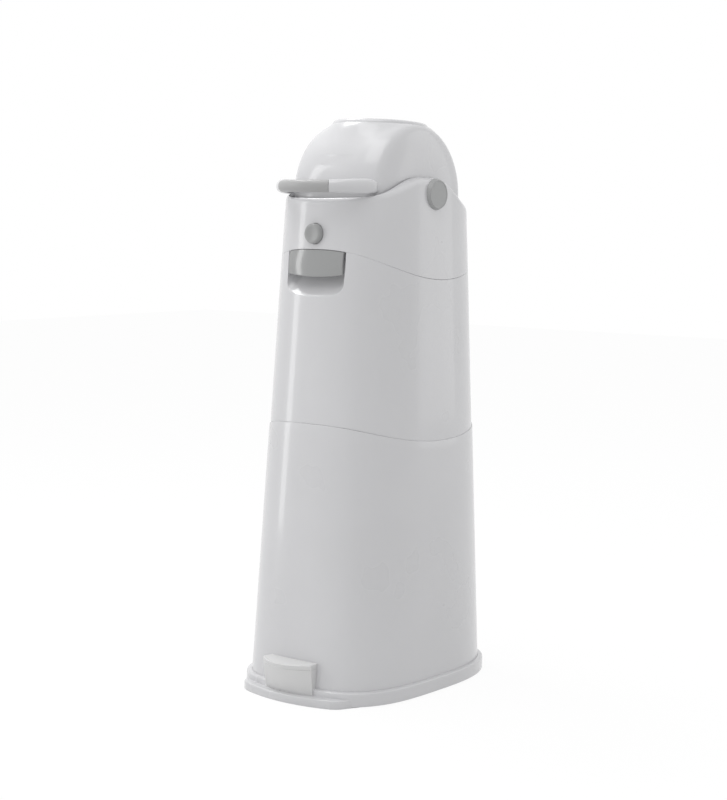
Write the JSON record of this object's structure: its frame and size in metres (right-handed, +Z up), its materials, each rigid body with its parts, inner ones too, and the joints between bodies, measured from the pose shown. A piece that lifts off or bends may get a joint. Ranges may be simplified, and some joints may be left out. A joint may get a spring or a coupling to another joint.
{
  "type": "nappy bin",
  "caption": "Tall free-standing nappy bin with a turning drum in its head, a hoop handle that flips it, a release button and a foot plate.",
  "frame": {"origin": "centre of the overall footprint, on the floor", "axes": "+Z up, -Y towards the front where the foot plate is, +X to the right as seen from the front"},
  "size_m": [0.2412, 0.3455, 0.7205],
  "materials": {
    "white_shell": "satin gloss",
    "pale_plastic": "satin",
    "grey_plastic": "satin",
    "rubber": "matt",
    "steel": "plated"
  },
  "bodies": {
    "bin": {"base_ring": "white_shell", "foot_plate": "white_shell", "foot_rest": "pale_plastic", "rubber_feet": "rubber", "base_screws": "steel", "lower_bin": "white_shell", "upper_bin": "white_shell", "bag_ring": "grey_plastic", "hinge_bracket": "white_shell", "hinge_pin": "steel", "bracket_screws": "steel", "latch_strike": "grey_plastic"},
    "head": {"head_casing": "white_shell", "drum_cradle": "white_shell", "drum_wipers": "rubber", "grip_lip": "grey_plastic", "lip_screws": "steel", "left_hub_bush": "grey_plastic", "right_hub_bush": "grey_plastic", "left_hub_disc": "grey_plastic", "right_hub_disc": "grey_plastic", "stop_buffers": "rubber", "cradle_screws": "steel", "hinge_leaf": "white_shell", "leaf_screws": "steel", "button_guide": "white_shell", "button_spring": "steel", "latch_pin": "steel"},
    "button": {"release_button": "grey_plastic"},
    "latch": {"latch_lever": "grey_plastic"},
    "drum": {"drum_shell": "white_shell", "chamber_sleeve": "white_shell", "upper_mouth_ring": "white_shell", "lower_mouth_ring": "white_shell", "left_drum_hub": "grey_plastic", "right_drum_hub": "grey_plastic", "handle_frame": "white_shell", "handle_grip": "grey_plastic", "handle_screws": "steel"},
    "piston": {"piston_disc": "pale_plastic", "piston_seal": "rubber"}
  },
  "joints": [
    {"name": "head_open", "type": "hinge", "parent": "bin", "child": "head", "pos_m": [0, 0.1536, 0.543], "axis": [-1, 0, 0], "range_deg": [0, 100]},
    {"name": "drum_flip", "type": "hinge", "parent": "head", "child": "drum", "pos_m": [0, 0.018, 0.6264], "axis": [-1, 0, 0], "range_deg": [0, 173.6]},
    {"name": "piston_slide", "type": "slide", "parent": "drum", "child": "piston", "axis": [0, 0.0558, 0.9984], "range_m": [0, 0.161]},
    {"name": "button_press", "type": "slide", "parent": "head", "child": "button", "axis": [0, 1, 0], "range_m": [0, 0.0035], "stiffness_N_per_m": 600, "deforming": ["button_spring"]},
    {"name": "latch_tilt", "type": "hinge", "parent": "head", "child": "latch", "pos_m": [0, -0.094, 0.6], "axis": [1, 0, 0], "range_deg": [0, 9]}
  ],
  "couplings": [
    {"joint": "latch_tilt", "follows": "button_press", "rad_per_m": 43.478}
  ]
}
